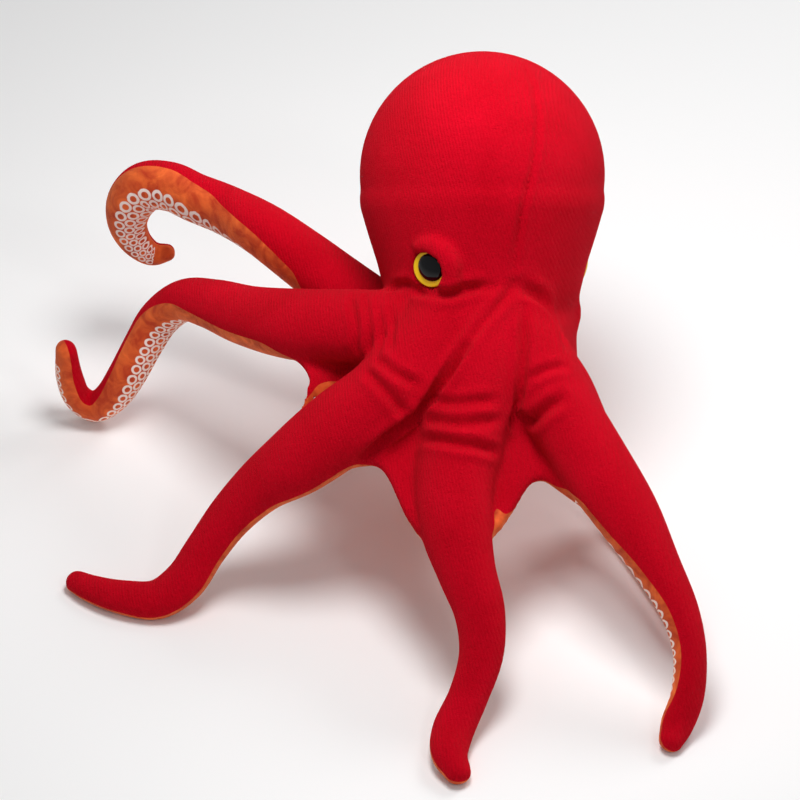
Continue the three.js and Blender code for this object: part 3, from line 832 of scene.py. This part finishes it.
def lathe(name, outline, place, material, sides=64):
    """A closed turned solid: outline holds (radius, height) from the back to the front."""
    centre, across, up, out = place
    angles = np.linspace(0, 2 * math.pi, sides, endpoint=False)
    rings = [centre + out * height
             + np.outer(np.cos(angles) * radius, across) + np.outer(np.sin(angles) * radius, up)
             for radius, height in outline]
    points, faces = closed_loft(rings)
    made = make_object(name, to_frame(points), faces)
    made.data.polygons.foreach_set("use_smooth", [True] * len(made.data.polygons))
    made.data.materials.append(material)
    return made


def dome(radius, height, base, steps=10):
    return [(radius * math.cos(t), base + height * math.sin(t))
            for t in np.linspace(0, math.radians(86), steps)]


def add_eyes(materials):
    for side in EYES:
        centre, across, up, out = eye_frame(side)
        disc = [(EYE_RADIUS - 2, 0.2), (EYE_RADIUS - 0.5, 0.3)] + [
            (radius, min(height, EYE_SEAT)) for radius, height in
            dome(EYE_RADIUS, EYE_RADIUS / 2, EYE_BAND, 16)]
        eye = lathe(f"{side}_eye_looks", disc, (centre, across, up, out), materials["eye_yellow"])
        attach(eye, "body")
        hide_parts(f"{side}_eye")
        shifted = centre + across * PUPIL_SHIFT[0] + up * PUPIL_SHIFT[1]
        ball = [(PUPIL_SIZE - 0.6, EYE_SEAT - 0.8)] + dome(
            PUPIL_SIZE, PUPIL_HEIGHT, EYE_SEAT - 0.5, 14)
        pupil = lathe(f"{side}_pupil_looks", ball, (shifted, across, up, out),
                      materials["eye_black"])
        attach(pupil, "body")
        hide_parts(f"{side}_pupil")


def lid_rings(side):
    """A stuffed fold of plush round part of an eye, thick in its middle."""
    centre, across, up, out = eye_frame(side)
    first, last = LID_SPAN[side]
    angles = np.linspace(0, 2 * math.pi, 20, endpoint=False)
    rings = []
    for share in np.linspace(0, 1, 26):
        turn = math.radians(first + (last - first) * share)
        radial = across * math.cos(turn) + up * math.sin(turn)
        thick = LID_THICKNESS[side] * (0.3 + 0.7 * math.sin(math.pi * share) ** 0.7)
        middle = centre + radial * (EYE_RADIUS + 0.55 * LID_THICKNESS[side]) + out * LID_RISE[side]
        rings.append(middle + np.outer(np.cos(angles) * thick * 1.15, radial)
                     + np.outer(np.sin(angles) * thick, out))
    return rings


def gather_rings():
    """The lump of gathered plush beside the far eye, as an elongated round shape."""
    line = smooth_route(GATHER, 2.0)
    along = unit(np.gradient(line, axis=0))
    angles = np.linspace(0, 2 * math.pi, 20, endpoint=False)
    rings = []
    for share, point, tangent in zip(np.linspace(-0.97, 0.97, len(line)), line, along):
        side = unit(np.cross(tangent, HEAD_FRONT))
        radius = GATHER_RADIUS * math.sqrt(1 - share * share)
        rings.append(point + np.outer(np.cos(angles) * radius, side)
                     + np.outer(np.sin(angles) * radius, np.cross(side, tangent)))
    return rings


def eye_coordinates(side, points):
    """Distance from an eye's axis, height over its seat and angle round it in degrees."""
    centre, across, up, out = eye_frame(side)
    offset = points - centre
    x, y, height = offset @ across, offset @ up, offset @ out
    return np.hypot(x, y), height, np.degrees(np.arctan2(y, x))


def clear_eye_sockets():
    """Presses the skin in under each eye's disc, up to the inner side of its lid."""
    for side in EYES:
        *_, out = eye_frame(side)
        radial, height, angle = eye_coordinates(side, skin.points)
        first, last = LID_SPAN[side]
        off_lid = np.abs((angle - (first + last) / 2 + 180) % 360 - 180) - (last - first) / 2
        bare = smoothstep(-30, 10, off_lid)
        inner = SOCKET_RADII[0] + (SOCKET_RADII[1] - SOCKET_RADII[0]) * bare
        limit = -SOCKET_DEPTH + SOCKET_FLARE * smoothstep(inner, inner + SOCKET_EDGE, radial)
        near = (radial < inner + SOCKET_EDGE) & (height > limit) & (height < 2 * EYE_RADIUS)
        skin.points[near] += np.outer((limit - height)[near], out)


# ---------------------------------------------------------------- materials
def new_material(name, colour, roughness):
    material = bpy.data.materials.new(name)
    material.use_nodes = True
    shader = material.node_tree.nodes["Principled BSDF"]
    shader.inputs["Base Color"].default_value = (*colour, 1)
    shader.inputs["Roughness"].default_value = roughness
    return material, shader


def add_node(tree, kind, inputs=(), **settings):
    node = tree.nodes.new(kind)
    for key, value in settings.items():
        setattr(node, key, value)
    for key, value in dict(inputs).items():
        socket = node.inputs[key]
        if isinstance(value, bpy.types.NodeSocket):
            tree.links.new(value, socket)
        else:
            socket.default_value = value
    return node


def math_node(tree, operation, *values, clamp=False):
    node = add_node(tree, "ShaderNodeMath", operation=operation, use_clamp=clamp)
    for socket, value in zip(node.inputs, values):
        if isinstance(value, bpy.types.NodeSocket):
            tree.links.new(value, socket)
        else:
            socket.default_value = value
    return node.outputs[0]


def mix_colour(tree, factor, a, b):
    node = add_node(tree, "ShaderNodeMix", data_type="RGBA")
    for index, value in ((0, factor), (6, a), (7, b)):
        if isinstance(value, bpy.types.NodeSocket):
            tree.links.new(value, node.inputs[index])
        else:
            node.inputs[index].default_value = value
    return node.outputs[2]


def nap_group():
    """Short pile: a height for the bump, and a mottle of lighter and darker pile."""
    group = bpy.data.node_groups.new("short_pile", "ShaderNodeTree")
    group.interface.new_socket("Rib Pitch", in_out="INPUT", socket_type="NodeSocketFloat")
    group.interface.new_socket("Height", in_out="OUTPUT", socket_type="NodeSocketFloat")
    group.interface.new_socket("Mottle", in_out="OUTPUT", socket_type="NodeSocketFloat")
    source, sink = group.nodes.new("NodeGroupInput"), group.nodes.new("NodeGroupOutput")
    place = add_node(group, "ShaderNodeTexCoord").outputs["Object"]
    fibre = add_node(group, "ShaderNodeTexNoise",
                     {"Vector": place, "Scale": 1500.0, "Detail": 3.0, "Roughness": 0.7})
    clump = add_node(group, "ShaderNodeTexNoise",
                     {"Vector": place, "Scale": 520.0, "Detail": 3.0, "Roughness": 0.65})
    patches = add_node(group, "ShaderNodeTexNoise",
                       {"Vector": place, "Scale": 26.0, "Detail": 2.0, "Distortion": 0.6})
    split = add_node(group, "ShaderNodeSeparateXYZ", {"Vector": place})
    lean = math_node(group, "MULTIPLY_ADD", split.outputs["Z"], 0.35, split.outputs["X"])
    wave = math_node(group, "DIVIDE", lean, source.outputs["Rib Pitch"])
    wave = math_node(group, "SINE", math_node(group, "MULTIPLY", wave, 2 * math.pi))
    height = math_node(group, "MULTIPLY_ADD", clump.outputs["Fac"], 0.8, fibre.outputs["Fac"])
    height = math_node(group, "MULTIPLY_ADD", wave, 0.12, height)
    mottle = math_node(group, "MULTIPLY_ADD", clump.outputs["Fac"], 0.6,
                       math_node(group, "MULTIPLY", patches.outputs["Fac"], 0.55))
    mottle = math_node(group, "MULTIPLY_ADD", fibre.outputs["Fac"], 0.35, mottle)
    mottle = math_node(group, "SUBTRACT", mottle, 0.25, clamp=True)
    group.links.new(height, sink.inputs["Height"])
    group.links.new(mottle, sink.inputs["Mottle"])
    return group


def plush_material(nap):
    material, shader = new_material("red_plush", PLUSH_MID, 0.95)
    tree = material.node_tree
    pile = add_node(tree, "ShaderNodeGroup", node_tree=nap)
    pile.inputs["Rib Pitch"].default_value = 0.0021
    colour = mix_colour(tree, pile.outputs["Mottle"], (*PLUSH_DARK, 1), (*PLUSH_LIGHT, 1))
    tree.links.new(colour, shader.inputs["Base Color"])
    bump = add_node(tree, "ShaderNodeBump", {"Height": pile.outputs["Height"],
                                             "Strength": 1.0, "Distance": 0.0014})
    tree.links.new(bump.outputs[0], shader.inputs["Normal"])
    shader.inputs["Specular IOR Level"].default_value = 0.04
    shader.inputs["Sheen Weight"].default_value = 0.12
    shader.inputs["Sheen Roughness"].default_value = 0.4
    shader.inputs["Sheen Tint"].default_value = (1.0, 0.12, 0.12, 1)
    return material


def rings_mask(tree):
    """White where the printed rings are, in the print's own coordinates."""
    print_map = add_node(tree, "ShaderNodeUVMap", uv_map="print").outputs[0]
    wobble = add_node(tree, "ShaderNodeTexNoise",
                      {"Vector": print_map, "Scale": 1.3, "Detail": 1.0})
    split = add_node(tree, "ShaderNodeSeparateXYZ", {"Vector": print_map})
    u, v = split.outputs["X"], split.outputs["Y"]
    masks = []
    for row, shift in RING_ROWS:
        at = math_node(tree, "FRACT", math_node(tree, "ADD", u, shift))
        du = math_node(tree, "SUBTRACT", at, 0.5)
        dv = math_node(tree, "SUBTRACT", v, row)
        far = math_node(tree, "SQRT", math_node(
            tree, "ADD", math_node(tree, "MULTIPLY", du, du), math_node(tree, "MULTIPLY", dv, dv)))
        off = math_node(tree, "ABSOLUTE", math_node(tree, "SUBTRACT", far, RING_MIDDLE))
        off = math_node(tree, "MULTIPLY_ADD", wobble.outputs["Fac"], 0.05, off)
        ring = math_node(tree, "DIVIDE", math_node(tree, "SUBTRACT", RING_LINE, off), 0.04,
                         clamp=True)
        masks.append(ring)
    both = masks[0]
    for ring in masks[1:]:
        both = math_node(tree, "MAXIMUM", both, ring)
    room = add_node(tree, "ShaderNodeAttribute", attribute_name="print_room").outputs["Fac"]
    return math_node(tree, "MULTIPLY", both, math_node(tree, "GREATER_THAN", room, 0.0))


def velour_material(nap):
    material, shader = new_material("orange_velour", VELOUR_MID, 0.75)
    tree = material.node_tree
    pile = add_node(tree, "ShaderNodeGroup", node_tree=nap)
    pile.inputs["Rib Pitch"].default_value = 0.0035
    crush = add_node(tree, "ShaderNodeTexNoise", {
        "Vector": add_node(tree, "ShaderNodeTexCoord").outputs["Object"],
        "Scale": 75.0, "Detail": 3.0, "Distortion": 1.2})
    shade = math_node(tree, "MULTIPLY_ADD", crush.outputs["Fac"], 2.2, -0.75, clamp=True)
    colour = mix_colour(tree, shade, (*VELOUR_DARK, 1), (*VELOUR_LIGHT, 1))
    colour = mix_colour(tree, rings_mask(tree), colour, (*PRINT_WHITE, 1))
    tree.links.new(colour, shader.inputs["Base Color"])
    bump = add_node(tree, "ShaderNodeBump", {"Height": pile.outputs["Height"],
                                             "Strength": 0.5, "Distance": 0.0006})
    tree.links.new(bump.outputs[0], shader.inputs["Normal"])
    shader.inputs["Specular IOR Level"].default_value = 0.25
    shader.inputs["Sheen Weight"].default_value = 0.3
    shader.inputs["Sheen Tint"].default_value = (1.0, 0.5, 0.2, 1)
    return material


def plastic_material(name, colour, roughness, coat):
    material, shader = new_material(name, colour, roughness)
    tree = material.node_tree
    place = add_node(tree, "ShaderNodeTexCoord").outputs["Object"]
    dust = add_node(tree, "ShaderNodeTexNoise", {"Vector": place, "Scale": 400.0, "Detail": 2.0})
    rough = math_node(tree, "MULTIPLY_ADD", dust.outputs["Fac"], 0.08, roughness - 0.04, clamp=True)
    tree.links.new(rough, shader.inputs["Roughness"])
    shader.inputs["Coat Weight"].default_value = coat
    shader.inputs["Coat Roughness"].default_value = 0.03
    shader.inputs["Specular IOR Level"].default_value = 0.3
    return material


def make_materials():
    nap = nap_group()
    return {
        "red_plush": plush_material(nap),
        "orange_velour": velour_material(nap),
        "eye_yellow": plastic_material("eye_yellow", EYE_YELLOW, 0.3, 0.3),
        "eye_black": plastic_material("eye_black", (0.002, 0.002, 0.003), 0.06, 0.0),
        "washer_plastic": plastic_material("washer_plastic", (0.8, 0.78, 0.72), 0.45, 0.0),
    }


# ---------------------------------------------------------------- camera, light and floor
CAMERA_ELEVATION = math.radians(40)
CAMERA_DISTANCE = 2.2
CAMERA_LENS = 148.5
CAMERA_SENSOR = 36
# what the camera aims at, from where the body's centre line meets the floor, in metres
AIM_LEFT = 0.0533
AIM_UP = 0.0733


def add_camera():
    back = Vector((0, -math.cos(CAMERA_ELEVATION), math.sin(CAMERA_ELEVATION)))
    right = Vector((1, 0, 0))
    up = back.cross(right)
    target = Vector(to_frame((0, 0, 0))) - right * AIM_LEFT + up * AIM_UP
    data = bpy.data.cameras.new("camera")
    data.sensor_width = CAMERA_SENSOR
    data.lens = CAMERA_LENS
    camera = bpy.data.objects.new("camera", data)
    camera.matrix_world = Matrix.Translation(target + back * CAMERA_DISTANCE) @ Matrix(
        (right, up, back)).transposed().to_4x4()
    bpy.context.scene.collection.objects.link(camera)
    bpy.context.scene.camera = camera


def add_area(name, place, target, size, power, colour=(1, 1, 1)):
    data = bpy.data.lights.new(name, "AREA")
    data.shape = "DISK"
    data.size = size
    data.energy = power
    data.color = colour
    light = bpy.data.objects.new(name, data)
    light.location = place
    light.rotation_euler = (Vector(target) - Vector(place)).to_track_quat("-Z", "Y").to_euler()
    bpy.context.scene.collection.objects.link(light)


def add_studio():
    scene = bpy.context.scene
    scene.view_settings.view_transform = "Standard"
    world = bpy.data.worlds.new("studio")
    world.use_nodes = True
    world.node_tree.nodes["Background"].inputs["Color"].default_value = (1, 1, 1, 1)
    world.node_tree.nodes["Background"].inputs["Strength"].default_value = 0.36
    scene.world = world
    add_area("key", (0.04, -0.02, 0.78), (0.06, 0.0, 0.1), 0.3, 3.7)
    add_area("rim", (0.9, 0.9, 1.2), (0, 0, 0.15), 0.7, 9)
    add_area("glint", (0.75, -1.1, 1.4), (0, 0, 0.12), 0.25, 2)
    floor = make_object("floor", [(-6, -6, 0), (6, -6, 0), (6, 6, 0), (-6, 6, 0)], [(0, 1, 2, 3)])
    material = bpy.data.materials.new("floor")
    material.use_nodes = True
    shader = material.node_tree.nodes["Principled BSDF"]
    shader.inputs["Base Color"].default_value = (0.93, 0.93, 0.93, 1)
    shader.inputs["Roughness"].default_value = 0.9
    floor.data.materials.append(material)


# ---------------------------------------------------------------- putting it together
add_camera()
add_studio()
materials = make_materials()
skin = Skin(*joined_skin())
skin.smooth_evenly(4)
skin.locate()
soften_joins()
skin.smooth_evenly(4)
press_folds()
clear_eye_sockets()
skin.points[:, 2] = np.maximum(skin.points[:, 2], FLOOR_GAP)
skin.locate()
build_covers(materials)
add_face_stitches(materials["red_plush"])
add_eyes(materials)
for side in EYES:
    washer = frame["nodes"][f"{side}_eye_washer"]
    washer.data.materials.clear()
    washer.data.materials.append(materials["washer_plastic"])
